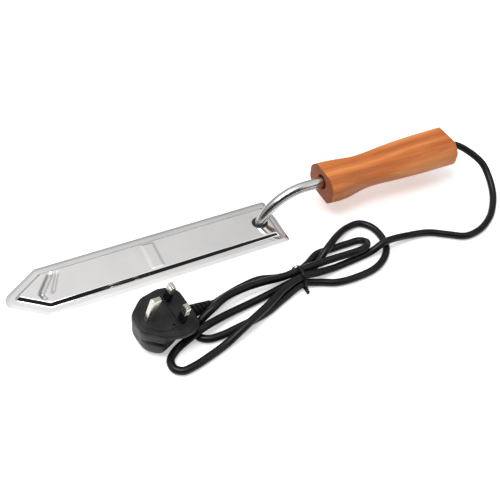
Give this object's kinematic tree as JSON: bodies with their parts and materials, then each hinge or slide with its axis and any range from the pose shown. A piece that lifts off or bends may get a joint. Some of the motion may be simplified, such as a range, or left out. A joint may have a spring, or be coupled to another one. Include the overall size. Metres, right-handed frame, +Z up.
{
  "type": "electric uncapping knife",
  "caption": "Electrically heated knife for uncapping honeycomb: flat pointed steel blade with a raised heater cover, bent tube shank, wooden handle and mains lead with plug.",
  "frame": {"origin": "on the blade's underside, on its centreline, straight below the point where the bent shank enters the blade", "axes": "+X from the blade's tip towards the handle, +Y across the blade, +Z up out of the blade's top face"},
  "size_m": [0.4685, 0.1511, 0.0562],
  "materials": {
    "blade_steel": "mirror-polished stainless steel",
    "black_sealant": "black heat-resistant sealant",
    "varnished_wood": "varnished orange-brown hardwood",
    "screw_zinc": "zinc-plated",
    "mica": "pressed mica sheet",
    "resistance_alloy": "oxidised nickel-chromium ribbon",
    "brown_insulation": "brown wire insulation",
    "blue_insulation": "blue wire insulation",
    "green_yellow_insulation": "green and yellow wire insulation",
    "crimp_metal": "plated crimp",
    "lead_pvc": "black flexible PVC",
    "plug_plastic": "black moulded plastic, satin",
    "pin_metal": "nickel-plated brass",
    "fuse_ceramic": "white glazed tube",
    "tie_plastic": "black plastic over wire"
  },
  "bodies": {
    "knife": {"blade_base_plate": "blade_steel", "blade_cover": "blade_steel", "shank_tube": "blade_steel", "shank_seal": "black_sealant", "handle": "varnished_wood", "handle_screw": "screw_zinc", "lower_mica_sheet": "mica", "upper_mica_sheet": "mica", "heating_ribbon": "resistance_alloy", "live_heater_lead": "brown_insulation", "live_core": "brown_insulation", "neutral_heater_lead": "blue_insulation", "neutral_core": "blue_insulation", "earth_core": "green_yellow_insulation", "live_splice": "crimp_metal", "neutral_splice": "crimp_metal", "earth_clip": "crimp_metal", "cord_clamp": "crimp_metal", "cord_tail": "lead_pvc", "cord_bush": "lead_pvc", "power_cord": "lead_pvc", "strain_relief": "lead_pvc", "plug_body": "plug_plastic", "live_pin_sleeve": "plug_plastic", "neutral_pin_sleeve": "plug_plastic", "earth_pin": "pin_metal", "live_pin": "pin_metal", "neutral_pin": "pin_metal", "fuse_contact_live": "pin_metal", "fuse_contact_load": "pin_metal", "twist_tie": "tie_plastic"},
    "fuse_carrier": {"fuse_carrier": "plug_plastic", "fuse_barrel": "fuse_ceramic", "fuse_cap_live": "pin_metal", "fuse_cap_load": "pin_metal"}
  },
  "joints": [
    {"name": "fuse_carrier_slide", "type": "slide", "parent": "knife", "child": "fuse_carrier", "axis": [0.2504, -0.0844, 0.9645], "range_m": [0, 0.01]}
  ]
}
